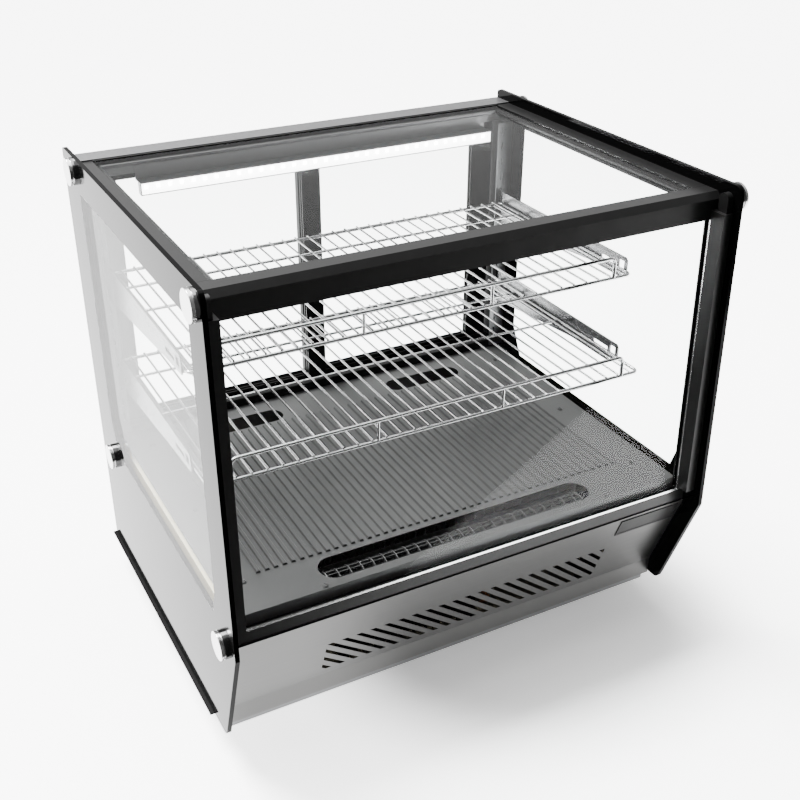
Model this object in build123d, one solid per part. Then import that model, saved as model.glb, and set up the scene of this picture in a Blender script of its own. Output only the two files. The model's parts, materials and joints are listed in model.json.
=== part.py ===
"""Countertop refrigerated bakery display case: printed side glass, raked front, sliding rear doors.

Millimetres. +Z up, +X to the customer's right, the front faces -Y. The origin is on the counter, below
the middle of the case. Every sub-part is one function that returns one solid, or several equal ones.
"""
import os

from build123d import *

# ---- driving dimensions ----
HALF_WIDTH = 351.0            # to the outer face of a side glass
SIDE_GLASS = 6.0              # side glass thickness
REAR_Y = 284.5                # rear edge of the side glass
TOP_Z = 684.0                 # top edge of the side glass
TOP_FRONT_Y = -274.0          # front edge of the side glass at its top
KINK = (-284.5, 221.0)        # where the side glass turns back (y, z)
CHIN = (-222.0, 50.0)         # lowest front point of the side glass (y, z)
BASE_Z = 36.0                 # underside of the chassis, on its feet
FRAME_TOP_Z = 669.0           # top face of the roof frame
FRAME_BAR = 24.0              # width of the roof frame's side bars
ROOF_Y = (-212.0, 250.0)      # opening of the roof frame
TOP_GLASS = 6.0
ROOF_LEDGE = 8.0              # width of the ledge under the top glass
ROOF_LEDGE_Z = (FRAME_TOP_Z - TOP_GLASS - 3.0, FRAME_TOP_Z - TOP_GLASS)
SEAL = 5.0                    # black seal behind the top glass
DECK_Z = 250.0                # top face of the deck plate
DECK_HALF = 332.0             # half width of the deck plate
DECK_FRONT_Y = -243.0
DECK_REAR_Y = 236.7
SHEET = 1.2                   # sheet metal thickness
CLEAR = 0.3                   # gap left between neighbours

INNER = HALF_WIDTH - SIDE_GLASS          # inner face of the side glass
BAR_END = INNER - CLEAR                  # where cross bars end

# front pane and its frame, which lean with the front edge of the side glass
PANE_TOP = (-242.0, 661.0)               # outer face of the frame at the top (y, z)
PANE_LEAN = 10.0 / 448.0                 # forward run per unit of drop
FRAME_WALL = 2.0                         # wall in front of and behind the pane
PANE = 5.0
FRAME_DEPTH = 2 * FRAME_WALL + PANE + 2 * CLEAR
HEADER_Z = 635.0                         # lower edge of the header bar
SILL_TOP_Z = 232.0                       # upper edge of the front sill bar
SILL_LOW_Z = 214.8
STILE_INNER = 330.0                      # inner edge of the front stiles
BRIGHT = 3.0                             # height of the bright strip on the sill

# base rail: a flat strip under the side glass, standing out beyond it
RAIL_FRONT_Y = -176.0
RAIL_OUT = 5.5
RAIL_WALL = 2.2

SKIRT_Z = (61.0, 205.0)
SKIRT_WALL = 1.5
SKIRT_INSET = 3.0                        # behind the front panel's outer face

# lower front panel
PANEL_BEND_R = 9.0
PANEL_TOP = (-254.0, 213.5)
PANEL_BEND = (-201.0, 74.0)
PANEL_LIP_Z = 47.0
VENT_X = (-210.0, 231.0)
VENT_Z = (87.0, 149.0)
VENT_PITCH = 20.5
VENT_RUN = 68.0                          # sideways run of a vent from its top to its foot
VENT_WIDE = 8.4                          # width of a vent along X
BADGE_X = (236.0, 338.0)
BADGE_Z = (177.0, 208.0)
BADGE_RIM = 3.0
BADGE_THICK = 1.4
BADGE_FIELD = 1.0                        # depth of the field inside the rim

# glass bolts (y, z), left and right alike
GLASS_BOLTS = ((-255.0, 665.0), (229.0, 665.0), (-246.0, 220.5), (219.0, 228.5))
BOLT_R = 3.0
BOLT_FIT = 0.02                          # radial clearance of a bolt in its thread
BOLT_TIP = 338.0                         # inner end of a glass bolt
DISC_R = 18.5
DISC = 4.0
DISC_GROOVE = 1.2

# doors
DOOR_HALF_SPAN = 329.0
DOOR_OVERLAP = 15.0            # each door passes the middle by this much
DOOR_STILE = 38.0              # the outer stile; the inner one is as wide as the overlap
DOOR_Z = (251.5, 656.0)
DOOR_THICK = 10.0
DOOR_PANE = 4.0
TRACK_Y = {"left": 259.0, "right": 275.0}  # middle of each door's track
TRACK_WIDE = 14.0
DOOR_SILL = (236.0, 263.0)
REAR_FRAME_Y = 237.0           # inner face of the rear frame

# shelves
SHELF_HALF = 322.3            # to the middle of the border wire
BORDER_R = 2.5
ROD_R = 1.5
ROD_PITCH = 20.5
SHELF_REAR_Y = 226.0
UPPER_SHELF = (-112.0, 514.0)             # front border wire (y, z)
LOWER_SHELF = (-150.0, 378.5)
GUARD_HALF = 293.0
GUARD_RISE = 30.0
GUARD_STUBS = (-94.0, 94.0)
BRACKET_X = 325.2
BRACKET = 2.0
BRACKET_FRONT_Y = -99.0
BRACKET_REAR_Y = 233.7
BRACKET_WINDOWS = ((6.0, 18.0, 15.0), (24.0, 58.0, 9.0))  # start and end behind the front end, top

# light line
LED_WALL = 1.2
LED_X = (-265.0, 299.0)
LED_Y = (226.0, 238.0)
LED_Z = (618.0, 636.0)

# shelf standards
STANDARD_X = (318.0, 344.0)
STANDARD_Y = (234.0, 236.0)
STANDARD_Z = (253.0, 643.0)
SLOTS = 15
SLOT_START = 275.0
SLOT_PITCH = 25.0
SLOT_TALL = 12.0

# cold well under the deck
WELL_X = 322.0
WELL_Y = (-233.2, 222.0)
WELL_Z = 181.0
WELL_TOP_Z = DECK_Z - 2.0
FOAM_X = 334.0
FOAM_Z = 158.0
DRAIN_AT = (-160.0, 150.0)
TUBE_R = 3.0
TUBE_PASS = ((-275.0, 100.0), (-285.0, 60.0))  # where the two tubes go down through the well
DRUM_AXIS = (-207.0, 221.0)               # cross-flow blower (y, z)
DRUM_R = 21.0
DRUM_X = (-200.0, 192.0)
DRUM_CELL = 16.5
OUTLET_X = (-208.0, 203.0)
OUTLET_Y = (-230.0, -185.0)
RETURN_X = (92.0, 225.0)
RETURN_Y = (168.0, 204.0)

# machinery
PAN_HALF = 337.0
PAN_Y = (-196.0, 278.0)
COMPRESSOR_AT = (215.0, 60.0)
COMPRESSOR_R = 62.0
COMPRESSOR_Z = (48.0, 150.0)
COMPRESSOR_STUBS = ((-30.0, 50.0), (0.0, 70.0))  # discharge and suction, off the axis and the shell's foot
FAN_AT = (-60.0, -122.0, 104.0)
FAN_R = 44.0
REAR_PANEL_Y = 279.0
REAR_PANEL_Z = (63.0, 235.7)
THERMOSTAT_AT = (-150.0, 205.0)
THERMOSTAT_CUT = (71.0, 29.0)
SWITCHES_X = {"power": -60.0, "light": -20.0}
SWITCH_Z = 205.0
SWITCH_CUT = (19.0, 27.0)
ROCKER_PIN = 1.5
ROCKER_TILT = 8.0                         # switched on, the upper half pressed in
INLET_AT = (240.0, 100.0)
INLET_CUT = (27.0, 31.0)
TRAY_X = (-220.0, -20.0)
TRAY_Y = (118.0, 282.0)
TRAY_Z = (38.5, 60.0)
FEET = ((-275.0, -125.0), (275.0, -125.0), (-275.0, 235.0), (275.0, 235.0))


# ---- helpers ----
def box(x, y, z):
    """A box between two values on each axis."""
    size = (x[1] - x[0], y[1] - y[0], z[1] - z[0])
    middle = ((x[0] + x[1]) / 2, (y[0] + y[1]) / 2, (z[0] + z[1]) / 2)
    return Pos(*middle) * Box(*size)


def prism_x(points, x):
    """A (y, z) outline pushed along X."""
    return extrude(Plane.YZ.offset(x[0]) * Polygon(*points, align=None), amount=x[1] - x[0], dir=(1, 0, 0))


def prism_y(points, y):
    """An (x, z) outline pushed along Y."""
    return extrude(Plane.XZ.offset(-y[0]) * Polygon(*points, align=None), amount=y[1] - y[0], dir=(0, 1, 0))


def prism_z(points, z):
    """An (x, y) outline pushed along Z."""
    return extrude(Plane.XY.offset(z[0]) * Polygon(*points, align=None), amount=z[1] - z[0], dir=(0, 0, 1))


def around(middle, size):
    """The range of a size about its middle."""
    return middle - size / 2, middle + size / 2


def shrunk(span, by):
    """A range drawn in by an amount at both ends; let out if the amount is negative."""
    return span[0] + by, span[1] - by


def rod_x(x, y, z, r):
    return Pos((x[0] + x[1]) / 2, y, z) * Rot(0, 90, 0) * Cylinder(r, x[1] - x[0])


def rod_y(y, x, z, r):
    return Pos(x, (y[0] + y[1]) / 2, z) * Rot(90, 0, 0) * Cylinder(r, y[1] - y[0])


def rod_z(z, x, y, r):
    return Pos(x, y, (z[0] + z[1]) / 2) * Cylinder(r, z[1] - z[0])


def mirrored(shape):
    return mirror(shape, about=Plane.YZ)


def front_y(z):
    """Outer face of the leaning front frame at a height."""
    return PANE_TOP[0] - (PANE_TOP[1] - z) * PANE_LEAN


def leaning(inset, z, depth):
    """Outline of an upright slice of the front frame, from an inset behind its outer face."""
    low = front_y(z[0]) + inset
    high = front_y(z[1]) + inset
    return [(low, z[0]), (high, z[1]), (high + depth, z[1]), (low + depth, z[0])]


def panel_y(z):
    """Outer face of the sloping lower front panel at a height."""
    slope = (PANEL_BEND[0] - PANEL_TOP[0]) / (PANEL_TOP[1] - PANEL_BEND[1])
    return PANEL_TOP[0] + (PANEL_TOP[1] - z) * slope


def folded(path, thick):
    """Closed outline of a folded sheet: the path, and the same path set off to its left by thick."""
    inner = []
    for i in range(len(path)):
        here = Vector(*path[i])
        ways = []
        if i > 0:
            ways.append((here - Vector(*path[i - 1])).normalized())
        if i < len(path) - 1:
            ways.append((Vector(*path[i + 1]) - here).normalized())
        lefts = [Vector(-w.Y, w.X) for w in ways]
        normal = sum(lefts[1:], lefts[0]).normalized()
        inner.append(here + normal * (thick / normal.dot(lefts[0])))
    return list(path) + [(p.X, p.Y) for p in reversed(inner)]


def obround(x, y, z):
    """A slot with round ends, lying along X."""
    r = (y[1] - y[0]) / 2
    middle = (y[0] + y[1]) / 2
    core = box((x[0] + r, x[1] - r), y, z)
    return core + rod_z(z, x[0] + r, middle, r) + rod_z(z, x[1] - r, middle, r)


def bolt_bore(place):
    """Threaded hole of a glass bolt on the right side, at a (y, z) place."""
    return rod_x((BOLT_TIP - 1, BAR_END + 1), *place, BOLT_R + BOLT_FIT)


# ---- glass ----
def side_glass():
    outline = [(REAR_Y, CHIN[1]), (REAR_Y, TOP_Z), (TOP_FRONT_Y, TOP_Z), KINK, CHIN]
    plate = prism_x(outline, (INNER, HALF_WIDTH))
    radii = {(REAR_Y, TOP_Z): 6.0, (TOP_FRONT_Y, TOP_Z): 12.0, KINK: 8.0, CHIN: 12.0}
    for (y, z), r in radii.items():
        corner = [e for e in plate.edges() if abs(e.center().Y - y) < 0.1 and abs(e.center().Z - z) < 0.1]
        plate = fillet(corner, r)
    for y, z in GLASS_BOLTS:
        plate -= rod_x((INNER - 1, HALF_WIDTH + 1), y, z, BOLT_R + 1)
    return plate


def front_glass():
    half = STILE_INNER + 7.5
    return prism_x(leaning(FRAME_WALL + CLEAR, (SILL_TOP_Z - 6, HEADER_Z + 15), PANE), (-half, half))


def top_glass():
    half = INNER - FRAME_BAR - CLEAR
    return box((-half, half), (ROOF_Y[0] + CLEAR, ROOF_Y[1] - SEAL - CLEAR), (ROOF_LEDGE_Z[1], FRAME_TOP_Z))


def top_glass_seal():
    half = INNER - FRAME_BAR - CLEAR
    y = (ROOF_Y[1] - SEAL, ROOF_Y[1] - CLEAR)
    return box((-half, half), y, (ROOF_LEDGE_Z[1] + CLEAR, FRAME_TOP_Z + 1))


# ---- roof and front frame ----
def top_front_bar():
    low = front_y(HEADER_Z)
    rear = ROOF_Y[0]
    seat = ROOF_LEDGE_Z[0]
    outline = [(low, HEADER_Z), PANE_TOP, (rear - 22, FRAME_TOP_Z), (rear, FRAME_TOP_Z), (rear, seat),
               (low + FRAME_DEPTH + 4, seat), (low + FRAME_DEPTH, HEADER_Z)]
    bar = prism_x(outline, (-BAR_END, BAR_END))
    half = INNER - FRAME_BAR - ROOF_LEDGE - CLEAR
    bar += box((-half, half), (rear, rear + ROOF_LEDGE), ROOF_LEDGE_Z)
    groove = leaning(FRAME_WALL, (HEADER_Z - 1, HEADER_Z + 16), PANE + 2 * CLEAR)
    return bar - prism_x(groove, (-BAR_END - 1, BAR_END + 1))


def top_side_bar():
    low = FRAME_TOP_Z - 14
    web = BOLT_TIP - 2
    inner = INNER - FRAME_BAR
    under, ledge = ROOF_LEDGE_Z
    outline = [(BAR_END, low), (BAR_END, FRAME_TOP_Z), (inner, FRAME_TOP_Z), (inner, ledge),
               (inner - ROOF_LEDGE, ledge), (inner - ROOF_LEDGE, under), (web, under), (web, low)]
    return prism_y(outline, shrunk(ROOF_Y, CLEAR)) - bolt_bore(GLASS_BOLTS[1])


def top_rear_rail():
    """Cover strip with fine grooves along it, and three fins between which the doors' heads run."""
    x = (-BAR_END, BAR_END)
    front = ROOF_Y[1]
    high = FRAME_TOP_Z + 2
    cover = 8
    fin = 1.5
    rail = box(x, (front, REAR_Y), (high - cover, high))
    for y in (front, front + 16.5, REAR_Y - fin):
        rail += box(x, (y, y + fin), (644, high - cover))
    half = INNER - FRAME_BAR - CLEAR - ROOF_LEDGE
    rail += box((-half, half), (front - 12, front), ROOF_LEDGE_Z)
    for i in range(6):
        y = front + 4 + i * 5
        rail -= box(shrunk(x, -1), (y, y + 1.4), (high - 1, high + 1))
    return rail


def front_stile():
    """Corner post: it holds the pane's edge and stands proud of it, and takes the upper front glass bolt."""
    low = SILL_TOP_Z + BRIGHT
    stile = prism_x(leaning(0, (low, HEADER_Z), FRAME_DEPTH), (STILE_INNER, BAR_END))
    groove = leaning(FRAME_WALL, (low - 1, HEADER_Z + 1), PANE + 2 * CLEAR)
    stile -= prism_x(groove, (STILE_INNER - 1, STILE_INNER + 8))
    proud = [(-272, 240), (-266, 648), (front_y(648), 648), (front_y(240), 240)]
    stile += prism_x(proud, (STILE_INNER, BAR_END))
    y, z = GLASS_BOLTS[0]
    boss = (BOLT_TIP - 2, BAR_END)
    stile += rod_x(boss, y, z, 8)
    stile += box(boss, (y - 8, y + 8), (645, z))
    stile -= prism_x(leaning(-CLEAR, (HEADER_Z, FRAME_TOP_Z), 40), (STILE_INNER - 1, BAR_END + 1))
    return stile - bolt_bore(GLASS_BOLTS[0])


def front_sill():
    groove_half = STILE_INNER + 8
    groove_z = (SILL_TOP_Z - 7, SILL_TOP_Z + 1)
    bar = prism_x(leaning(0, (SILL_LOW_Z, SILL_TOP_Z), 18.0), (-BAR_END, BAR_END))
    bar -= prism_x(leaning(FRAME_WALL, groove_z, PANE + 2 * CLEAR), (-groove_half, groove_half))
    bar -= prism_x(leaning(FRAME_DEPTH, (SILL_LOW_Z + 14, SILL_TOP_Z + 1), 30), (-BAR_END - 1, BAR_END + 1))
    bore = bolt_bore(GLASS_BOLTS[2])
    return bar - bore - mirrored(bore)


def bright_trim():
    """Bright strip on the sill and a fine upright line at the root of each stile."""
    strip = prism_x(leaning(0, (SILL_TOP_Z, SILL_TOP_Z + BRIGHT), FRAME_WALL), (-BAR_END, BAR_END))
    line_z = (SILL_TOP_Z + BRIGHT + CLEAR, HEADER_Z - CLEAR)
    line = prism_x(leaning(-1.5, line_z, 1.5), (STILE_INNER - 0.4, STILE_INNER))
    return [strip, line, mirrored(line)]


# ---- lower body ----
def front_panel():
    path = [(PANEL_TOP[0] + 9, PANEL_TOP[1]), PANEL_TOP, PANEL_BEND, (PANEL_BEND[0], PANEL_LIP_Z),
            (PANEL_BEND[0] + 4.5, PANEL_LIP_Z)]
    sheet = prism_x(folded(path, SHEET), (-BAR_END, BAR_END))
    bends = [e for e in sheet.edges().filter_by(Axis.X) if abs(e.center().Z - PANEL_BEND[1]) < 2]
    for bend in bends:
        outer = abs(bend.center().Y - PANEL_BEND[0]) < 0.1
        radius = PANEL_BEND_R if outer else PANEL_BEND_R - SHEET
        same = [e for e in sheet.edges().filter_by(Axis.X) if (e.center() - bend.center()).length < 0.1]
        sheet = fillet(same, radius)
    count = int((VENT_X[1] - VENT_X[0]) / VENT_PITCH) + 4
    cutter = None
    for i in range(-3, count - 3):
        top_x = VENT_X[0] + i * VENT_PITCH
        slot = [(top_x, VENT_Z[1]), (top_x + VENT_WIDE, VENT_Z[1]),
                (top_x + VENT_RUN + VENT_WIDE, VENT_Z[0]), (top_x + VENT_RUN, VENT_Z[0])]
        bar = prism_y(slot, (-260, -190))
        cutter = bar if cutter is None else cutter + bar
    window = box(VENT_X, (-260, -190), VENT_Z)
    return sheet - (cutter & window)


def badge_slice(z, near, far):
    """Outline between two distances in front of the sloping panel, over a height range."""
    low, high = (panel_y(level) for level in z)
    return [(low - near, z[0]), (high - near, z[1]), (high - far, z[1]), (low - far, z[0])]


def front_badge():
    """A blank plate with a raised rim, no lettering."""
    plate = prism_x(badge_slice(BADGE_Z, 0.0, BADGE_THICK), BADGE_X)
    field = badge_slice(shrunk(BADGE_Z, BADGE_RIM), BADGE_FIELD, 2 * BADGE_THICK)
    return plate - prism_x(field, shrunk(BADGE_X, BADGE_RIM))


def base_rail():
    top = CHIN[1] - CLEAR
    return box((PAN_HALF + CLEAR, HALF_WIDTH + RAIL_OUT), (RAIL_FRONT_Y, REAR_Y), (top - RAIL_WALL, top))


def side_skirts():
    rear = REAR_PANEL_Y - 1
    low, high = SKIRT_Z
    bend = PANEL_BEND[1] + 2
    foot = panel_y(bend) + SKIRT_INSET
    outline = [(rear, low), (rear, high), (panel_y(high) + SKIRT_INSET, high), (foot, bend), (foot, low)]
    skirt = prism_x(outline, (BAR_END - SKIRT_WALL, BAR_END))
    return [skirt, mirrored(skirt)]


def base_pan():
    pan = box((-PAN_HALF, PAN_HALF), PAN_Y, (BASE_Z, BASE_Z + 24))
    pan -= box((-PAN_HALF + SHEET, PAN_HALF - SHEET), (PAN_Y[0] + SHEET, PAN_Y[1] + 1), (BASE_Z + SHEET, 100))
    for x, y in FEET:
        pan -= rod_z((BASE_Z - 1, BASE_Z + 5), x, y, BOLT_R + 0.3)
    for i in range(9):
        pan -= box((-140 + i * 20, -130 + i * 20), (-60, 40), (BASE_Z - 1, BASE_Z + 5))
    return pan


def rubber_feet():
    foot = Pos(0, 0, BASE_Z / 2) * Cone(15, 19, BASE_Z)
    foot -= rod_z((-1, BASE_Z + 1), 0, 0, BOLT_R + 0.2)
    foot -= rod_z((-1, 12), 0, 0, 8)
    return [Pos(x, y, 0) * foot for x, y in FEET]


def foot_bolts():
    bolt = rod_z((12 - 4, BASE_Z + 12), 0, 0, BOLT_R) + rod_z((12 - 4, 12), 0, 0, 6)
    nut = extrude(Plane.XY.offset(BASE_Z + SHEET) * RegularPolygon(5.8, 6), amount=5)
    return [Pos(x, y, 0) * (bolt + nut) for x, y in FEET]


def rear_panel():
    y = (REAR_PANEL_Y, REAR_PANEL_Y + SHEET)
    through = shrunk(y, -1)
    panel = box((-PAN_HALF, PAN_HALF), y, REAR_PANEL_Z)
    cuts = [(THERMOSTAT_AT, THERMOSTAT_CUT), (INLET_AT, INLET_CUT)]
    cuts += [((x, SWITCH_Z), SWITCH_CUT) for x in SWITCHES_X.values()]
    for (x, z), (wide, tall) in cuts:
        panel -= box(around(x, wide), through, around(z, tall))
    for row in range(7):
        for x in (60, 130, 200):
            panel -= box((x, x + 56), through, (138 + row * 11, 143 + row * 11))
    return panel


# ---- rear frame and doors ----
def rear_sill():
    low, high = DOOR_SILL
    sill = box((-BAR_END + 2, BAR_END - 2), (REAR_FRAME_Y, REAR_Y), (low, high))
    for middle in TRACK_Y.values():
        run = (-DOOR_HALF_SPAN - 2, DOOR_HALF_SPAN + 2)
        sill -= box(run, around(middle, TRACK_WIDE), (low + 14, high + 1))
    # an ear at each end takes the lower rear glass bolt
    y, z = GLASS_BOLTS[3]
    ear = box((BOLT_TIP - 0.4, BAR_END), (y - 12, 245), (z - 12, low + 11))
    ear -= bolt_bore(GLASS_BOLTS[3])
    return sill + ear + mirrored(ear)


def rear_posts():
    post = box((DOOR_HALF_SPAN + 3, BAR_END), (REAR_FRAME_Y, REAR_Y), (DOOR_SILL[1] + CLEAR, 643.7))
    return [post, mirrored(post)]


def shelf_standards():
    strip = box(STANDARD_X, STANDARD_Y, STANDARD_Z)
    slot_x = (BRACKET_X - 0.4, BRACKET_X + BRACKET + 0.4)
    for i in range(SLOTS):
        z = SLOT_START + i * SLOT_PITCH
        strip -= box(slot_x, shrunk(STANDARD_Y, -1), (z, z + SLOT_TALL))
    return [strip, mirrored(strip)]


def door_span(side):
    if side == "left":
        return -DOOR_HALF_SPAN, DOOR_OVERLAP
    return -DOOR_OVERLAP, DOOR_HALF_SPAN


def door_stiles(side):
    """Widths of a door's left and right stiles."""
    inner = 2 * DOOR_OVERLAP
    return (DOOR_STILE, inner) if side == "left" else (inner, DOOR_STILE)


def door_frame(side):
    x = door_span(side)
    middle = TRACK_Y[side]
    y = around(middle, DOOR_THICK)
    low, high = DOOR_Z
    frame = box(x, y, DOOR_Z)
    left, right = door_stiles(side)
    frame -= box((x[0] + left, x[1] - right), shrunk(y, -1), (low + 17, high - 20))
    half = DOOR_PANE / 2 + CLEAR
    frame -= box((x[0] + left - 8, x[1] - right + 8), (middle - half, middle + half), (low + 9, high - 12))
    # finger pull: an upright ridge on the outer stile
    pull = x[0] + 10 if side == "left" else x[1] - 10
    ridge = box((pull - 4, pull + 4), (y[1], y[1] + 3), (380, 540))
    return frame + fillet(ridge.edges().filter_by(Axis.Z).sort_by(Axis.Y)[-2:], 2)


def door_glass(side):
    x = door_span(side)
    middle = TRACK_Y[side]
    left, right = door_stiles(side)
    wide = (x[0] + left - 7.5, x[1] - right + 7.5)
    return box(wide, around(middle, DOOR_PANE), (DOOR_Z[0] + 9.5, DOOR_Z[1] - 12.5))


# ---- deck and shelves ----
def deck_plate():
    x = (-DECK_HALF, DECK_HALF)
    deck = box(x, (DECK_FRONT_Y, DECK_REAR_Y), (DECK_Z - 1.5, DECK_Z))
    deck += box(x, (DECK_FRONT_Y, DECK_FRONT_Y + 1.5), (DECK_Z - 17, DECK_Z - 1.5))
    for side in (-1, 1):
        edge = sorted((side * DECK_HALF, side * (DECK_HALF - 1.5)))
        deck += box(edge, (DECK_FRONT_Y, DECK_REAR_Y), (DECK_Z - 6, DECK_Z - 1.5))
        # the front corners are notched round the stiles
        corner = sorted((side * (STILE_INNER - 0.5), side * (DECK_HALF + 1)))
        deck -= box(corner, (DECK_FRONT_Y - 1, -241.2), (DECK_Z - 20, DECK_Z + 1))
    # pressed ribs, front to back
    count = 47
    pitch = 12.0
    for i in range(count):
        middle = (i - (count - 1) / 2) * pitch
        rib = [(middle - 3.4, DECK_Z), (middle - 1.9, DECK_Z + 2.8), (middle + 1.9, DECK_Z + 2.8),
               (middle + 3.4, DECK_Z)]
        deck += prism_y(rib, (-174, 162))
    z = (DECK_Z - 3, DECK_Z + 3)
    deck -= obround(OUTLET_X, OUTLET_Y, z)
    for side in (-1, 1):
        deck -= obround(sorted((side * RETURN_X[0], side * RETURN_X[1])), RETURN_Y, z)
    for x0, y0 in deck_screw_places():
        deck -= rod_z(z, x0, y0, 1.9)
    return deck


def deck_screw_places():
    return [(side * x, y) for side in (-1, 1) for x, y in ((300, -6), (300, -183), (213, -237), (300, 186))]


def deck_screws():
    screw = rod_z((DECK_Z - 8, DECK_Z), 0, 0, 1.7) + Pos(0, 0, DECK_Z + 1) * Cone(4.4, 3.0, 2)
    screw -= box((-3, 3), (-0.5, 0.5), (DECK_Z + 1, DECK_Z + 3))
    screw -= box((-0.5, 0.5), (-3, 3), (DECK_Z + 1, DECK_Z + 3))
    return [Pos(x, y, 0) * screw for x, y in deck_screw_places()]


def wire_shelf(front, z):
    """Border wire, cross wires, close front-to-back rods and a raised front guard rail, all welded."""
    r = BORDER_R
    bend = 8.0
    half = SHELF_HALF
    corners = [(-half, front), (half, front), (half, SHELF_REAR_Y), (-half, SHELF_REAR_Y)]
    ring = fillet(Polygon(*corners, align=None).vertices(), bend)
    loop = Pos(0, 0, z) * ring.faces()[0].outer_wire()
    start = Plane(loop @ 0, z_dir=loop % 0)
    shelf = sweep(start * Circle(r), path=loop, transition=Transition.RIGHT)
    rod_z_level = z + r + ROD_R - 0.5
    for y in (front + 195, SHELF_REAR_Y - 60):
        shelf += rod_x((-SHELF_HALF, SHELF_HALF), y, z, 2.0)
    count = 31
    for i in range(count):
        x = (i - (count - 1) / 2) * ROD_PITCH
        shelf += rod_y((front - 0.5, SHELF_REAR_Y + 0.5), x, rod_z_level, ROD_R)
    top = z + GUARD_RISE
    rail = FilletPolyline((-GUARD_HALF, front, z), (-GUARD_HALF, front, top), (GUARD_HALF, front, top),
                          (GUARD_HALF, front, z), radius=9)
    shelf += sweep(Plane(rail @ 0, z_dir=rail % 0) * Circle(r), path=rail)
    for x in GUARD_STUBS:
        shelf += rod_z((z, top), x, front, 2.0)
    return shelf


def shelf_bracket(z):
    """Cantilever bracket: an upright web with a front stop, and a ledge under the shelf's border wire."""
    seat = z - BORDER_R - CLEAR
    web = [(BRACKET_REAR_Y, seat - 34), (BRACKET_REAR_Y, seat + 21), (BRACKET_FRONT_Y + 4, seat + 21),
           (BRACKET_FRONT_Y, seat + 17), (BRACKET_FRONT_Y, seat - 4), (BRACKET_FRONT_Y + 60, seat - 8)]
    bracket = prism_x(web, (BRACKET_X, BRACKET_X + BRACKET))
    for first, last, top in BRACKET_WINDOWS:
        opening = (BRACKET_FRONT_Y + first, BRACKET_FRONT_Y + last)
        bracket -= box((BRACKET_X - 1, BRACKET_X + BRACKET + 1), opening, (seat + 3, seat + top))
    bracket += box((BRACKET_X - 14, BRACKET_X), (BRACKET_FRONT_Y, BRACKET_REAR_Y), (seat - BRACKET, seat))
    # a hook through a slot of the standard
    slot = SLOT_START + SLOT_PITCH * int((seat - 8 - SLOT_START) / SLOT_PITCH)
    x = (BRACKET_X, BRACKET_X + BRACKET)
    hook = box(x, (BRACKET_REAR_Y, 238.3), (slot + 1, slot + 10))
    return bracket + hook + box(x, (236.3, 238.3), (slot - 4, slot + 10))


def shelf_brackets():
    right = [shelf_bracket(UPPER_SHELF[1]), shelf_bracket(LOWER_SHELF[1])]
    return right + [mirrored(b) for b in right]


# ---- light ----
def led_housing():
    high = LED_Z[1]
    rear = ROOF_Y[1] - CLEAR
    housing = box(LED_X, LED_Y, LED_Z)
    hollow = (LED_Y[0] - 1, LED_Y[1] - LED_WALL)
    housing -= box(shrunk(LED_X, LED_WALL), hollow, shrunk(LED_Z, LED_WALL))
    # a flange that hangs it from the top rear rail
    housing += box(LED_X, (LED_Y[1], rear), (high - LED_WALL, high))
    return housing + box(LED_X, (rear - LED_WALL, rear), (high, 655))


def led_board():
    return box(shrunk(LED_X, LED_WALL + CLEAR), (LED_Y[1] - 3.0, LED_Y[1] - 1.5), shrunk(LED_Z, 2))


def led_chips():
    y = (LED_Y[1] - 4.4, LED_Y[1] - 3.0)
    z = around((LED_Z[0] + LED_Z[1]) / 2, 5)
    count = 33
    pitch = (LED_X[1] - LED_X[0] - 20) / (count - 1)
    middles = [LED_X[0] + 10 + i * pitch for i in range(count)]
    return [box(around(x, 5), y, z) for x in middles]


def led_diffuser():
    inset = LED_WALL + CLEAR
    return box(shrunk(LED_X, inset), (LED_Y[0] + CLEAR, LED_Y[0] + 1.8), shrunk(LED_Z, inset))


# ---- cold well ----
def well_liner():
    x = (-WELL_X, WELL_X)
    tub = box(x, WELL_Y, (WELL_Z, WELL_TOP_Z))
    tub -= box(shrunk(x, SHEET), shrunk(WELL_Y, SHEET), (WELL_Z + SHEET, DECK_Z))
    # a rim on each side carries the deck
    for side in (-1, 1):
        rim = sorted((side * (WELL_X - SHEET), side * (WELL_X + 8)))
        tub += box(rim, WELL_Y, (WELL_TOP_Z - SHEET, WELL_TOP_Z))
    tub -= rod_z((WELL_Z - 1, WELL_Z + 3), *DRAIN_AT, 8)
    for x, y in TUBE_PASS:
        tub -= rod_z((WELL_Z - 1, WELL_Z + 3), x, y, TUBE_R + 1)
    return tub


def well_insulation():
    rear = 233
    top = REAR_PANEL_Z[1]
    outline = [(-240, 212), (-240, 192), (-226, FOAM_Z), (rear, FOAM_Z), (rear, top), (-224, top),
               (-224, 212)]
    foam = prism_x(outline, (-FOAM_X, FOAM_X))
    foam -= box((-WELL_X, WELL_X), WELL_Y, (WELL_Z, 250))
    foam -= rod_z((FOAM_Z - 1, WELL_Z + 3), *DRAIN_AT, 8)
    for x, y in TUBE_PASS:
        foam -= rod_z((FOAM_Z - 1, WELL_Z + 3), x, y, TUBE_R + 1)
    return foam


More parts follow.
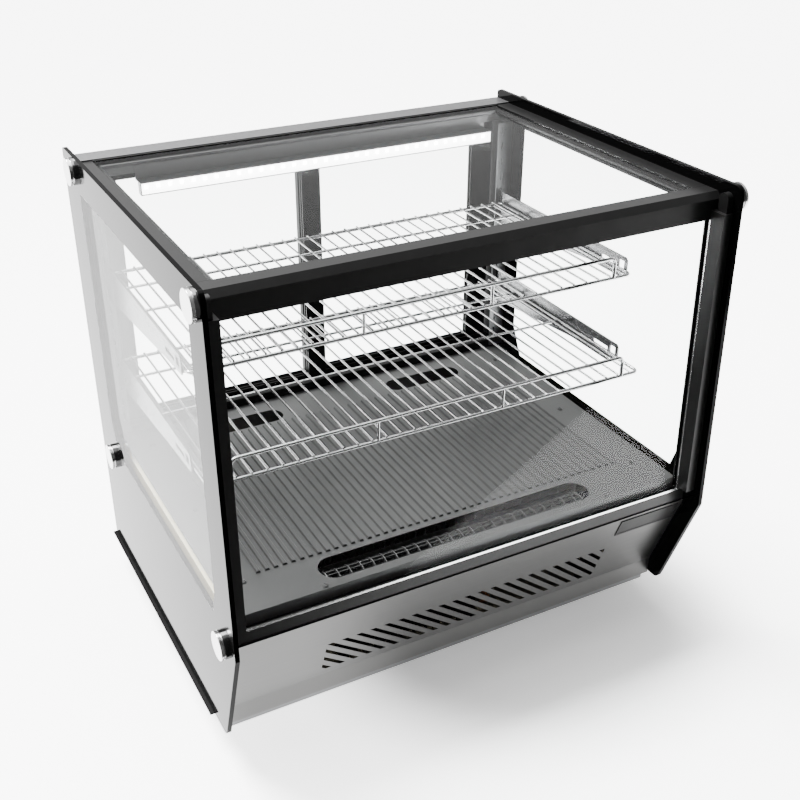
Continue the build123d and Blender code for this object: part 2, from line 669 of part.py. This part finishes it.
def blower_drum():
    """Cross-flow impeller: thin rings joined by blades, on a shaft."""
    y, z = DRUM_AXIS
    x0, x1 = DRUM_X
    drum = rod_x((x0, x0 + 2), y, z, DRUM_R) + rod_x((x1 - 2, x1), y, z, DRUM_R)
    blades = 16
    for i in range(blades):
        blade = Pos((x0 + x1) / 2, y, z) * Rot(360 / blades * i, 0, 0) * Pos(0, DRUM_R - 4, 0)
        drum += blade * Rot(25, 0, 0) * Box(x1 - x0, 6, 0.8)
    cell = x0 + DRUM_CELL
    while cell < x1 - DRUM_CELL / 2:
        ring = rod_x((cell, cell + 1.2), y, z, DRUM_R) - rod_x((cell - 1, cell + 3), y, z, DRUM_R - 7)
        drum += ring
        cell += DRUM_CELL
    return drum + rod_x((x0 - 14, x0), y, z, 3) + rod_x((x1, x1 + 16), y, z, 3)


def blower_trough():
    """Bent sheet round the drum with a bearing plate at the left end."""
    y, z = DRUM_AXIS
    x0, x1 = DRUM_X
    path = [(y - 24, 242), (y - 24, z - 24), (y + 24, z - 24), (y + 24, 236)]
    trough = prism_x(folded(path, 1.0), (x0 - 12, x1 + 4))
    plate = box((x0 - 12, x0 - 10), (y - 24, y + 24), (z - 24, 236))
    return trough + (plate - rod_x((x0 - 13, x0 - 9), y, z, 3.05))


def blower_motor():
    y, z = DRUM_AXIS
    x1 = DRUM_X[1]
    motor = rod_x((x1 + 8, x1 + 60), y, z, 20) + box((x1 + 20, x1 + 50), (y - 12, y + 12), (182.5, z))
    return motor - rod_x((x1 + 7, x1 + 17), y, z, 3.05)


def u_bend(first, last, side, r):
    """Half ring joining two tubes that run along X; it bulges towards side (+1 or -1)."""
    p = Vector(*first)
    q = Vector(*last)
    reach = (q - p).length / 2
    arc = ThreePointArc(p, (p + q) / 2 + Vector(side * reach, 0, 0), q)
    return sweep(Plane(arc @ 0, z_dir=arc % 0) * Circle(r), path=arc)


def evaporator():
    r = 4.0
    end = 255.0
    rows = (200, 224)
    ys = (-120, -90, -60, -30, 0, 30)
    fin = box((-0.4, 0.4), (-138, 48), (186, 238))
    for z in rows:
        for y in ys:
            fin -= rod_x((-1, 1), y, z, r + 0.05)
    pieces = [Pos(x, 0, 0) * fin for x in range(-240, 241, 16)]
    for z in rows:
        for y in ys:
            pieces.append(rod_x((-end, end), y, z, r))
        for i in range(len(ys) - 1):
            side = 1 if i % 2 == 0 else -1
            pieces.append(u_bend((side * end, ys[i], z), (side * end, ys[i + 1], z), side, r))
    pieces.append(u_bend((-end, ys[0], rows[0]), (-end, ys[0], rows[1]), -1, r))
    return pieces


# ---- machinery ----
def compressor():
    x, y = COMPRESSOR_AT
    low, high = COMPRESSOR_Z
    shell = fillet(rod_z(COMPRESSOR_Z, x, y, COMPRESSOR_R).edges().filter_by(GeomType.CIRCLE), 24)
    shell += box((x - 75, x + 75), (y - 45, y + 45), (BASE_Z + SHEET + 6, low + 4))
    for dy, dz in COMPRESSOR_STUBS:
        shell += rod_x((x - 80, x - 50), y + dy, low + dz, 4)
    for dx in (-62, 62):
        for dy in (-34, 34):
            shell += rod_z((BASE_Z + SHEET, BASE_Z + SHEET + 6.5), x + dx, y + dy, 9)
    return shell


def condenser():
    """Fins on one serpentine tube, between two end plates."""
    r = 3.0
    ends = (-160.0, 50.0)
    ys = (-152, -166)
    levels = (144, 125, 106, 87, 68)
    fin = box((-0.4, 0.4), (-172, -146), (58, 150))
    plate = box((-1, 1), (-174, -142), (BASE_Z + SHEET, 152))
    for z in levels:
        for y in ys:
            fin -= rod_x((-1, 1), y, z, r + 0.05)
            plate -= rod_x((-2, 2), y, z, r + 0.05)
    pieces = [Pos(x, 0, 0) * fin for x in range(-150, 41, 10)]
    pieces += [Pos(x, 0, 0) * plate for x in (-156, 47)]
    for i, z in enumerate(levels):
        for y in ys:
            pieces.append(rod_x(ends, y, z, r))
        pieces.append(u_bend((ends[0], ys[0], z), (ends[0], ys[1], z), -1, r))
        if i < len(levels) - 1:
            y = ys[(i + 1) % 2]
            pieces.append(u_bend((ends[1], y, z), (ends[1], y, levels[i + 1]), 1, r))
    return pieces


def refrigerant_tubes():
    """Discharge, liquid and suction lines, each one bent tube."""
    x, y = COMPRESSOR_AT
    port = x - 80 - CLEAR
    out, back = [(y + dy, COMPRESSOR_Z[0] + dz) for dy, dz in COMPRESSOR_STUBS]
    (lx, ly), (sx, sy) = TUBE_PASS
    condenser_end = 50.0 + CLEAR
    evaporator_end = -255.0 - CLEAR
    lines = (
        [(condenser_end, -152, 144), (110, -152, 144), (110, out[0], 144), (110, *out), (port, *out)],
        [(condenser_end, -166, 68), (80, -166, 68), (80, ly, 68), (lx, ly, 68), (lx, ly, 200), (lx, 30, 200),
         (evaporator_end, 30, 200)],
        [(evaporator_end, 30, 224), (sx, 30, 224), (sx, sy, 224), (sx, sy, back[1]), (port, *back)],
    )
    tubes = []
    for line in lines:
        path = FilletPolyline(*line, radius=8)
        tubes.append(sweep(Plane(path @ 0, z_dir=path % 0) * Circle(TUBE_R), path=path))
    return tubes


def fan_shroud():
    x, y, z = FAN_AT
    shroud = box((x - 96, x + 100), (y - 19, y - 17.5), (56, 150))
    shroud -= rod_y((y - 30, y - 10), x, z, FAN_R + 3)
    hoop = rod_y((y - 19, y + 12), x, z, FAN_R + 4.5) - rod_y((y - 20, y + 13), x, z, FAN_R + 3)
    return shroud + hoop


def fan_motor():
    x, y, z = FAN_AT
    motor = rod_y((y + 18, y + 62), x, z, 24)
    motor += box((x - 8, x + 8), (y + 30, y + 50), (BASE_Z + SHEET, z))
    motor += box((x - 30, x + 30), (y + 22, y + 58), (BASE_Z + SHEET, BASE_Z + SHEET + 3))
    return motor - rod_y((y + 17, y + 34), x, z, 3.05)


def fan_blades():
    x, y, z = FAN_AT
    blades = rod_y((y - 9, y + 10), x, z, 13) + rod_y((y + 10, y + 32), x, z, 3)
    for i in range(5):
        blade = Rot(0, 72 * i, 0) * Pos(27, 0, 0) * Rot(32, 0, 0) * Box(32, 1.6, 24)
        blades += Pos(x, y, z) * blade
    return blades & rod_y((y - 12, y + 33), x, z, FAN_R)


def drip_tray():
    tray = box(TRAY_X, TRAY_Y, TRAY_Z)
    tray -= box((TRAY_X[0] + 2, TRAY_X[1] - 2), (TRAY_Y[0] + 2, TRAY_Y[1] - 4), (TRAY_Z[0] + 2, 70))
    middle = (TRAY_X[0] + TRAY_X[1]) / 2
    return tray - box((middle - 30, middle + 30), (TRAY_Y[1] - 1.5, TRAY_Y[1] + 1), (44, 54))


# ---- controls on the rear panel ----
def thermostat():
    x, z = THERMOSTAT_AT
    wide, tall = (around(middle, size) for middle, size in zip(THERMOSTAT_AT, THERMOSTAT_CUT))
    face = REAR_PANEL_Y + SHEET
    body = box(shrunk(wide, CLEAR), (REAR_PANEL_Y - 30, face), shrunk(tall, CLEAR))
    body += box(shrunk(wide, -3), (face, face + 3), shrunk(tall, -3))
    body -= box((x - 30, x + 12), (face + 2, face + 4), (z - 9, z + 9))
    for dz in (7, -7):
        body -= box((x + 18, x + 32), (face - 1, face + 4), (z + dz - 4.5, z + dz + 4.5))
    return body


def thermostat_key(dz):
    x, z = THERMOSTAT_AT
    face = REAR_PANEL_Y + SHEET + 3
    return box((x + 18.3, x + 31.7), (face - 2.4, face + 1), (z + dz - 4.2, z + dz + 4.2))


def switch_bezels():
    tall = around(SWITCH_Z, SWITCH_CUT[1])
    face = REAR_PANEL_Y + SHEET
    shells = []
    for x in SWITCHES_X.values():
        wide = around(x, SWITCH_CUT[0])
        shell = box(shrunk(wide, CLEAR), (face - 20, face), shrunk(tall, CLEAR))
        shell += box(shrunk(wide, -1.5), (face, face + 1.5), shrunk(tall, -1.5))
        shell -= box((x - 7, x + 7), (face - 14, face + 2), (SWITCH_Z - 11.5, SWITCH_Z + 11.5))
        shell -= rod_x((x - 8.4, x + 8.4), face - 2, SWITCH_Z, ROCKER_PIN + 0.05)
        shells.append(shell)
    return shells


def rocker(name):
    x = SWITCHES_X[name]
    face = REAR_PANEL_Y + SHEET
    outline = [(face - 4, SWITCH_Z - 10), (face - 4, SWITCH_Z + 10), (face + 1.6, SWITCH_Z + 10.4),
               (face + 0.4, SWITCH_Z), (face + 1.6, SWITCH_Z - 10.4)]
    pivot = Pos(x, face - 2, SWITCH_Z)
    body = prism_x(outline, (x - 6.7, x + 6.7)) + rod_x((x - 8.2, x + 8.2), face - 2, SWITCH_Z, ROCKER_PIN)
    return pivot * Rot(ROCKER_TILT, 0, 0) * pivot.inverse() * body


def power_inlet():
    x, z = INLET_AT
    wide, tall = (around(middle, size) for middle, size in zip(INLET_AT, INLET_CUT))
    face = REAR_PANEL_Y + SHEET
    body = box(shrunk(wide, CLEAR), (face - 24, face), shrunk(tall, CLEAR))
    body += box((x - 24, x + 24), (face, face + 3), shrunk(tall, -2))
    body -= box((x - 11, x + 11), (face - 16, face + 4), (z - 8, z + 8))
    for dx, dz in ((-5, -2), (5, -2), (0, 3)):
        body += box((x + dx - 1, x + dx + 1), (face - 17, face - 3), (z + dz - 2, z + dz + 2))
    return body


# ---- glass bolts ----
def bolt_bases():
    span = (HALF_WIDTH, HALF_WIDTH + DISC)
    base = rod_x(span, 0, 0, DISC_R) - rod_x(shrunk(span, -1), 0, 0, BOLT_R + CLEAR)
    base = chamfer(base.edges().filter_by(GeomType.CIRCLE).sort_by(Axis.X)[-1:], 0.1)
    right = [Pos(0, y, z) * base for y, z in GLASS_BOLTS]
    return right + [mirrored(b) for b in right]


def bolt_caps():
    start = HALF_WIDTH + DISC
    cap = rod_x((start, start + DISC_GROOVE), 0, 0, DISC_R - 2)
    disc = rod_x((start + DISC_GROOVE, start + DISC_GROOVE + DISC), 0, 0, DISC_R)
    cap += fillet(disc.edges().filter_by(GeomType.CIRCLE).sort_by(Axis.X)[-1:], 0.8)
    cap += rod_x((BOLT_TIP, start), 0, 0, BOLT_R)
    right = [Pos(0, y, z) * cap for y, z in GLASS_BOLTS]
    return right + [mirrored(b) for b in right]


def model():
    nodes = {
        "base_pan": base_pan(),
        "rubber_feet": rubber_feet(),
        "foot_bolts": foot_bolts(),
        "front_panel": front_panel(),
        "front_badge": front_badge(),
        "rear_panel": rear_panel(),
        "front_glass": front_glass(),
        "top_glass": top_glass(),
        "top_glass_seal": top_glass_seal(),
        "top_front_bar": top_front_bar(),
        "top_rear_rail": top_rear_rail(),
        "front_sill": front_sill(),
        "bright_trim": bright_trim(),
        "rear_sill": rear_sill(),
        "rear_posts": rear_posts(),
        "side_skirts": side_skirts(),
        "shelf_standards": shelf_standards(),
        "deck_plate": deck_plate(),
        "deck_screws": deck_screws(),
        "shelf_brackets": shelf_brackets(),
        "upper_shelf": wire_shelf(*UPPER_SHELF),
        "lower_shelf": wire_shelf(*LOWER_SHELF),
        "led_housing": led_housing(),
        "led_board": led_board(),
        "led_chips": led_chips(),
        "led_diffuser": led_diffuser(),
        "well_liner": well_liner(),
        "well_insulation": well_insulation(),
        "blower_drum": blower_drum(),
        "blower_trough": blower_trough(),
        "blower_motor": blower_motor(),
        "evaporator": evaporator(),
        "compressor": compressor(),
        "condenser": condenser(),
        "refrigerant_tubes": refrigerant_tubes(),
        "fan_shroud": fan_shroud(),
        "fan_motor": fan_motor(),
        "fan_blades": fan_blades(),
        "drip_tray": drip_tray(),
        "thermostat": thermostat(),
        "thermostat_key_up": thermostat_key(7),
        "thermostat_key_down": thermostat_key(-7),
        "switch_bezels": switch_bezels(),
        "power_rocker": rocker("power"),
        "light_rocker": rocker("light"),
        "power_inlet": power_inlet(),
        "bolt_bases": bolt_bases(),
        "bolt_caps": bolt_caps(),
    }
    for make in (side_glass, top_side_bar, front_stile, base_rail):
        right = make()
        nodes[make.__name__ + "_right"] = right
        nodes[make.__name__ + "_left"] = mirrored(right)
    for side in ("left", "right"):
        nodes["door_frame_" + side] = door_frame(side)
        nodes["door_glass_" + side] = door_glass(side)
    return nodes


os.makedirs("parts", exist_ok=True)
for node, shape in model().items():
    if isinstance(shape, (list, tuple)):
        shape = Compound(children=list(shape))
    export_step(shape, f"parts/{node}.step")
    print(node)
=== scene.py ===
"""Countertop refrigerated display case: looks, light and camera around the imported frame. Metres."""

import json
import math

import bpy
from mathutils import Matrix, Vector

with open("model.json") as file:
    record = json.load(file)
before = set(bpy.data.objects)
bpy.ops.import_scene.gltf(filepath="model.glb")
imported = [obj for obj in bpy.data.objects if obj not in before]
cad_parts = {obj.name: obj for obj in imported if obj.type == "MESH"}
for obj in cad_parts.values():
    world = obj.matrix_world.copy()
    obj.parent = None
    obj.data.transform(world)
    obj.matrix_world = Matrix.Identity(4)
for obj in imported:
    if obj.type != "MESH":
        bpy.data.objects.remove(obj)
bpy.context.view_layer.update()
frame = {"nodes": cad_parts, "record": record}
nodes = frame["nodes"]

# clear window of a side glass (y, z); everything outside it is printed black
WINDOW_REAR_Y = 0.209
WINDOW_FRONT_Y = -0.227
WINDOW_TOP_Z = 0.6385
WINDOW_BOTTOM_Z = 0.248
WINDOW_FRONT_CUT = ((-0.227, 0.283), (-0.215, 0.250))
WINDOW_REAR_CUT = ((0.209, 0.295), (0.186, 0.249))
GLASS_FACING = 0.006    # reflection of a pane seen square on, and what is added seen edge on
GLASS_GRAZING = 0.35
GLASS_TINT = (0.99, 0.995, 0.993)
DIFFUSER_GLOW = 14.0    # milky share of the light cover, and how brightly it glows
DIFFUSER_MILKY = 0.55
STREAK_ACROSS = 220.0   # noise stretch of brushed metal, across and along its streaks
STREAK_ALONG = 2.0
SKY_FRONT = 0.25        # sky strength in front of the case and behind it
SKY_REAR = 1.2
SKY_FADE = (-0.8, 0.3)   # it brightens between these y values of the direction looked in
SUN_POWER = 16.0
SUN_SOFTNESS = 28.0     # degrees
SUN_DIRECTION = Vector((0.35, -0.75, -1.3))
TABLE_GLOW = 3.0        # the table is lit from inside; in an oval round the case its glow is lowered as a painted shadow
PAINTED_SHADOW_GLOW = 0.4
PAINTED_SHADOW_AT = (0.20, -0.06)    # middle and half widths of that painted-shadow oval, in the table's own frame
PAINTED_SHADOW_HALF = (0.38, 0.34)
PAINTED_SHADOW_FADE = (0.55, 1.05)   # the glow rises out of the painted shadow between these shares of the half widths
TABLE_EDGE_Y = -0.52    # in front of this the floor is dark, which keeps the front glass clear
TABLE_TURN = -28.0      # degrees
TABLE_REACH = 14.0
TABLE_BOTTOM_Z = -0.02
TABLE_TOP_Z = -0.0002   # just under the feet

CAMERA_AT = Vector((-0.6558, -1.2572, 1.1268))
CAMERA_YAW = 28.16      # degrees from +Y towards +X
CAMERA_PITCH = 28.996   # degrees below the horizon
CAMERA_ROLL = 0.226
CAMERA_LENS = 50.9
CAMERA_SENSOR = 36.0


def smooth_span(nodes, low, high, to_low, to_high):
    """A node that runs smoothly from to_low to to_high while its value runs from low to high."""
    span = nodes.new("ShaderNodeMapRange")
    span.interpolation_type = "SMOOTHSTEP"
    for socket, value in (("From Min", low), ("From Max", high), ("To Min", to_low), ("To Max", to_high)):
        span.inputs[socket].default_value = value
    return span


class Tree:
    """A material's node tree, with short calls for what the materials below need."""

    def __init__(self, name):
        self.material = bpy.data.materials.new(name)
        self.material.use_nodes = True
        self.nodes = self.material.node_tree.nodes
        self.links = self.material.node_tree.links
        self.nodes.clear()
        self.output = self.nodes.new("ShaderNodeOutputMaterial")

    def join(self, source, target):
        self.links.new(source, target)

    def math(self, operation, a, b=0.0):
        node = self.nodes.new("ShaderNodeMath")
        node.operation = operation
        for socket, value in zip(node.inputs, (a, b)):
            if isinstance(value, (int, float)):
                socket.default_value = value
            else:
                self.join(value, socket)
        return node.outputs[0]

    def place(self):
        """Object coordinates as (x, y, z) sockets; for a CAD node they are the part's own frame."""
        coords = self.nodes.new("ShaderNodeTexCoord")
        split = self.nodes.new("ShaderNodeSeparateXYZ")
        self.join(coords.outputs["Object"], split.inputs[0])
        return split.outputs

    def noise(self, scale, stretch=(1, 1, 1), detail=3.0):
        coords = self.nodes.new("ShaderNodeTexCoord")
        mapping = self.nodes.new("ShaderNodeMapping")
        mapping.inputs["Scale"].default_value = stretch
        self.join(coords.outputs["Object"], mapping.inputs["Vector"])
        noise = self.nodes.new("ShaderNodeTexNoise")
        noise.inputs["Scale"].default_value = scale
        noise.inputs["Detail"].default_value = detail
        self.join(mapping.outputs[0], noise.inputs["Vector"])
        return noise.outputs["Fac"]

    def principled(self, color, rough, metal=0.0, coat=0.0, specular=0.5):
        shader = self.nodes.new("ShaderNodeBsdfPrincipled")
        shader.inputs["Specular IOR Level"].default_value = specular
        shader.inputs["Base Color"].default_value = (*color, 1)
        shader.inputs["Roughness"].default_value = rough
        shader.inputs["Metallic"].default_value = metal
        shader.inputs["Coat Weight"].default_value = coat
        return shader

    def vary(self, shader, socket, source, low, high):
        """Runs a socket between two values along a 0 to 1 source."""
        span = self.nodes.new("ShaderNodeMapRange")
        span.inputs["To Min"].default_value = low
        span.inputs["To Max"].default_value = high
        self.join(source, span.inputs["Value"])
        self.join(span.outputs[0], shader.inputs[socket])

    def mix(self, factor, a, b):
        node = self.nodes.new("ShaderNodeMixShader")
        if isinstance(factor, (int, float)):
            node.inputs[0].default_value = factor
        else:
            self.join(factor, node.inputs[0])
        self.join(a, node.inputs[1])
        self.join(b, node.inputs[2])
        return node.outputs[0]

    def glass(self, tint):
        """Thin clear glass: straight through, with more reflection the more it is seen edge on."""
        clear = self.nodes.new("ShaderNodeBsdfTransparent")
        clear.inputs["Color"].default_value = (*tint, 1)
        shine = self.nodes.new("ShaderNodeBsdfGlossy")
        shine.inputs["Roughness"].default_value = 0.02
        facing = self.nodes.new("ShaderNodeLayerWeight")
        facing.inputs["Blend"].default_value = 0.5
        grazing = self.math("POWER", facing.outputs["Facing"], 5.0)
        share = self.math("ADD", self.math("MULTIPLY", grazing, GLASS_GRAZING), GLASS_FACING)
        return self.mix(share, clear.outputs[0], shine.outputs[0])

    def done(self, surface):
        self.join(surface, self.output.inputs["Surface"])
        return self.material


def plain(name, color, rough, metal=0.0, coat=0.0, specular=0.5, grain=(1, 1, 1), spread=0.06, scale=60.0):
    """A material whose roughness wanders a little, along grain."""
    tree = Tree(name)
    shader = tree.principled(color, rough, metal, coat, specular)
    low = max(rough - spread, 0.02)
    tree.vary(shader, "Roughness", tree.noise(scale, grain), low, rough + spread)
    return tree.done(shader.outputs[0])


def clear_glass():
    tree = Tree("clear_glass")
    return tree.done(tree.glass(GLASS_TINT))


def below_line(tree, y, z, first, last):
    """1 where (y, z) lies under the line through two (y, z) points, else 0."""
    slope = (last[1] - first[1]) / (last[0] - first[0])
    height = tree.math("ADD", tree.math("MULTIPLY", tree.math("SUBTRACT", y, first[0]), slope), first[1])
    return tree.math("LESS_THAN", z, height)


def printed_glass():
    """Clear glass with a printed black border round its window."""
    tree = Tree("printed_glass")
    _, y, z = tree.place()
    printed = tree.math("GREATER_THAN", y, WINDOW_REAR_Y)
    for other in (
        tree.math("LESS_THAN", y, WINDOW_FRONT_Y),
        tree.math("GREATER_THAN", z, WINDOW_TOP_Z),
        tree.math("LESS_THAN", z, WINDOW_BOTTOM_Z),
        below_line(tree, y, z, *WINDOW_FRONT_CUT),
        below_line(tree, y, z, *WINDOW_REAR_CUT),
    ):
        printed = tree.math("MAXIMUM", printed, other)
    ink = tree.principled((0.001, 0.001, 0.001), 0.08, specular=0.025)
    return tree.done(tree.mix(printed, tree.glass(GLASS_TINT), ink.outputs[0]))


def brushed(name, color, rough, along):
    """Brushed metal: fine streaks along one axis, in roughness and in height."""
    tree = Tree(name)
    stretch = [STREAK_ACROSS] * 3
    stretch[along] = STREAK_ALONG
    shader = tree.principled(color, rough, 1.0)
    streaks = tree.noise(6.0, stretch, 2.0)
    tree.vary(shader, "Roughness", streaks, rough - 0.08, rough + 0.10)
    bump = tree.nodes.new("ShaderNodeBump")
    bump.inputs["Strength"].default_value = 0.05
    bump.inputs["Distance"].default_value = 0.0002
    tree.join(streaks, bump.inputs["Height"])
    tree.join(bump.outputs[0], shader.inputs["Normal"])
    return tree.done(shader.outputs[0])


def glow(name, color, strength):
    tree = Tree(name)
    light = tree.nodes.new("ShaderNodeEmission")
    light.inputs["Color"].default_value = (*color, 1)
    light.inputs["Strength"].default_value = strength
    return tree.done(light.outputs[0])


def diffuser():
    """Cloudy clear cover that lets most of the light line through."""
    tree = Tree("diffuser_clear")
    clear = tree.nodes.new("ShaderNodeBsdfTransparent")
    milky = tree.nodes.new("ShaderNodeEmission")
    milky.inputs["Strength"].default_value = DIFFUSER_GLOW
    return tree.done(tree.mix(DIFFUSER_MILKY, clear.outputs[0], milky.outputs[0]))


MATERIALS = {
    "stainless": brushed("stainless", (0.115, 0.115, 0.113), 0.34, 0),
    "zinc_sheet": plain("zinc_sheet", (0.16, 0.163, 0.166), 0.40, 1.0),
    "foot_rubber": plain("foot_rubber", (0.02, 0.02, 0.02), 0.75),
    "badge_grey": plain("badge_grey", (0.014, 0.0135, 0.0135), 0.35, specular=0.12),
    "clear_glass": clear_glass(),
    "side_glass_print": printed_glass(),
    "black_bar": plain("black_bar", (0.0045, 0.0045, 0.0045), 0.34, specular=0.20),
    "grey_aluminium": brushed("grey_aluminium", (0.24, 0.24, 0.245), 0.38, 0),
    "silver_trim": plain("silver_trim", (0.85, 0.85, 0.85), 0.22, 1.0),
    "black_plastic": plain("black_plastic", (0.002, 0.002, 0.002), 0.40, specular=0.06),
    "bracket_steel": plain("bracket_steel", (0.16, 0.16, 0.163), 0.25, 1.0),
    "deck_grey": plain("deck_grey", (0.032, 0.032, 0.032), 0.34, specular=0.30, spread=0.08, scale=25.0),
    "screw_dark": plain("screw_dark", (0.10, 0.10, 0.10), 0.35, 1.0),
    "seal_rubber": plain("seal_rubber", (0.003, 0.003, 0.003), 0.6, specular=0.1),
    # near black: partly the condenser's own black paint, partly painted shade for the dark inside of the base
    # behind its vents
    "coil_black": plain("coil_black", (0.004, 0.004, 0.004), 0.7, specular=0.1),
    "rail_black": plain("rail_black", (0.0012, 0.0012, 0.0012), 0.4, specular=0.05),
    "chrome_wire": plain("chrome_wire", (0.50, 0.50, 0.505), 0.08, 1.0),
    "board_white": plain("board_white", (0.85, 0.85, 0.85), 0.5),
    "chip_yellow": glow("chip_yellow", (1.0, 0.98, 0.93), 60.0),
    "diffuser_clear": diffuser(),
    "liner_steel": plain("liner_steel", (0.28, 0.28, 0.28), 0.35, 1.0),
    "foam": plain("foam", (0.75, 0.66, 0.42), 0.9),
    "fan_plastic": plain("fan_plastic", (0.03, 0.03, 0.03), 0.40),
    "motor_paint": plain("motor_paint", (0.015, 0.015, 0.018), 0.25, coat=0.4),
    "coil_aluminium": plain("coil_aluminium", (0.70, 0.70, 0.70), 0.35, 1.0),
    "copper_tube": plain("copper_tube", (0.16, 0.08, 0.05), 0.45, 1.0),
    "tray_plastic": plain("tray_plastic", (0.45, 0.45, 0.45), 0.55),
    "key_grey": plain("key_grey", (0.25, 0.25, 0.26), 0.5),
    "rocker_green": plain("rocker_green", (0.03, 0.30, 0.08), 0.25),
    "rocker_black": plain("rocker_black", (0.02, 0.02, 0.02), 0.25),
    "cap_aluminium": plain("cap_aluminium", (0.55, 0.55, 0.55), 0.20, 1.0),
    "base_aluminium": plain("base_aluminium", (0.16, 0.16, 0.16), 0.16, 1.0),
}
# edge rounding in metres, for nodes whose edges catch the light
ROUNDED = {
    "top_front_bar": 0.0008, "top_rear_rail": 0.0003, "front_sill": 0.0005, "front_stile_left": 0.0010,
    "front_stile_right": 0.0010, "base_rail_left": 0.0010, "base_rail_right": 0.0010, "deck_plate": 0.0004,
    "side_glass_left": 0.0006, "side_glass_right": 0.0006, "front_badge": 0.0003, "door_frame_left": 0.0008,
    "door_frame_right": 0.0008, "rear_posts": 0.0010, "rear_sill": 0.0006, "drip_tray": 0.0005,
    "shelf_brackets": 0.0004, "thermostat": 0.0006, "power_inlet": 0.0006, "power_rocker": 0.0004,
    "light_rocker": 0.0004, "compressor": 0.0020,
}


def dress_frame():
    """Gives every CAD node its slot's material, and rounds the edges listed above."""
    for part in frame["record"]["subparts"]:
        node = nodes[part["node"]]
        node.data.materials.clear()
        node.data.materials.append(MATERIALS[part["material_slot"]])
    for name, width in ROUNDED.items():
        bevel = nodes[name].modifiers.new("round", "BEVEL")
        bevel.width = width
        bevel.segments = 2
        bevel.limit_method = "ANGLE"
        bevel.harden_normals = False


def box_mesh(name, low, high):
    """A plain box as a mesh object."""
    corners = [(x, y, z) for x in (low[0], high[0]) for y in (low[1], high[1]) for z in (low[2], high[2])]
    faces = [(0, 1, 3, 2), (4, 6, 7, 5), (0, 4, 5, 1), (2, 3, 7, 6), (0, 2, 6, 4), (1, 5, 7, 3)]
    mesh = bpy.data.meshes.new(name)
    mesh.from_pydata(corners, [], faces)
    piece = bpy.data.objects.new(name, mesh)
    bpy.context.scene.collection.objects.link(piece)
    return piece


def lit_white_with_painted_shadow():
    """White table surface that glows, with a painted shadow: its glow is lowered in an oval round the case.
    """
    tree = Tree("floor_white_painted_shadow")
    shader = tree.principled((0.93, 0.93, 0.93), 0.7, specular=0.1)
    shader.inputs["Emission Color"].default_value = (1, 1, 1, 1)
    x, y, _ = tree.place()
    reach = []
    for along, middle, half in zip((x, y), PAINTED_SHADOW_AT, PAINTED_SHADOW_HALF):
        reach.append(tree.math("POWER", tree.math("DIVIDE", tree.math("SUBTRACT", along, middle), half), 2.0))
    away = tree.math("SQRT", tree.math("ADD", *reach))
    # painted shadow: the glow drops towards the middle of the oval round the case
    fade = smooth_span(tree.nodes, *PAINTED_SHADOW_FADE, PAINTED_SHADOW_GLOW, TABLE_GLOW)
    tree.join(away, fade.inputs["Value"])
    tree.join(fade.outputs[0], shader.inputs["Emission Strength"])
    return tree.done(shader.outputs[0])


def build_sky():
    """A white sky, bright behind the case and darker in front of it."""
    world = bpy.data.worlds.new("sky")
    world.use_nodes = True
    tree = world.node_tree
    coords = tree.nodes.new("ShaderNodeTexCoord")
    split = tree.nodes.new("ShaderNodeSeparateXYZ")
    span = smooth_span(tree.nodes, *SKY_FADE, SKY_FRONT, SKY_REAR)
    tree.links.new(coords.outputs["Generated"], split.inputs[0])
    tree.links.new(split.outputs["Y"], span.inputs["Value"])
    tree.links.new(span.outputs[0], tree.nodes["Background"].inputs["Strength"])
    tree.nodes["Background"].inputs["Color"].default_value = (1, 1, 1, 1)
    bpy.context.scene.world = world


def build_floor():
    """The lit table, and the dark floor in front of its turned edge."""
    turn = math.radians(TABLE_TURN)
    edge = TABLE_EDGE_Y * math.cos(turn)
    far = TABLE_REACH
    slabs = (
        ("table", edge, far, lit_white_with_painted_shadow()),
        ("room_floor", -far, edge, plain("room_dark", (0.03, 0.03, 0.03), 0.8, specular=0.1)),
    )
    for name, near, back, material in slabs:
        slab = box_mesh(name, (-far, near, TABLE_BOTTOM_Z), (far, back, TABLE_TOP_Z))
        slab.data.materials.append(material)
        slab.rotation_euler.z = turn


def stage_light(name, kind, direction):
    """A light that shines along direction, linked and staged."""
    light = bpy.data.objects.new(name, bpy.data.lights.new(name, kind))
    light.rotation_euler = direction.to_track_quat("-Z", "Y").to_euler()
    bpy.context.scene.collection.objects.link(light)
    return light


def build_lights():
    """A wide soft sun from behind, and two square lamps, above and on the left."""
    sun = stage_light("sun", "SUN", SUN_DIRECTION)
    sun.data.energy = SUN_POWER
    sun.data.angle = math.radians(SUN_SOFTNESS)
    # name: place, point aimed at, side of the lamp, power
    lamps = {
        "lamp_top": ((-0.3, 0.5, 2.4), (0, 0, 0.3), 2.2, 90.0),
        "lamp_left": ((-2.4, 0.6, 1.6), (0, 0, 0.4), 1.6, 40.0),
    }
    for name, (place, target, size, power) in lamps.items():
        lamp = stage_light(name, "AREA", Vector(target) - Vector(place))
        lamp.location = place
        lamp.data.size = size
        lamp.data.energy = power


def build_camera():
    yaw, pitch, roll = (math.radians(v) for v in (CAMERA_YAW, CAMERA_PITCH, CAMERA_ROLL))
    forward = Vector((math.sin(yaw) * math.cos(pitch), math.cos(yaw) * math.cos(pitch), -math.sin(pitch)))
    right = Vector((math.cos(yaw), -math.sin(yaw), 0))
    up = right.cross(forward)
    turned_right = right * math.cos(roll) + up * math.sin(roll)
    turned_up = up * math.cos(roll) - right * math.sin(roll)
    data = bpy.data.cameras.new("camera")
    data.lens = CAMERA_LENS
    data.sensor_width = CAMERA_SENSOR
    camera = bpy.data.objects.new("camera", data)
    axes = Matrix((turned_right, turned_up, -forward)).transposed()
    camera.matrix_world = Matrix.Translation(CAMERA_AT) @ axes.to_4x4()
    bpy.context.scene.collection.objects.link(camera)
    bpy.context.scene.camera = camera


dress_frame()
build_floor()
build_sky()
build_lights()
build_camera()
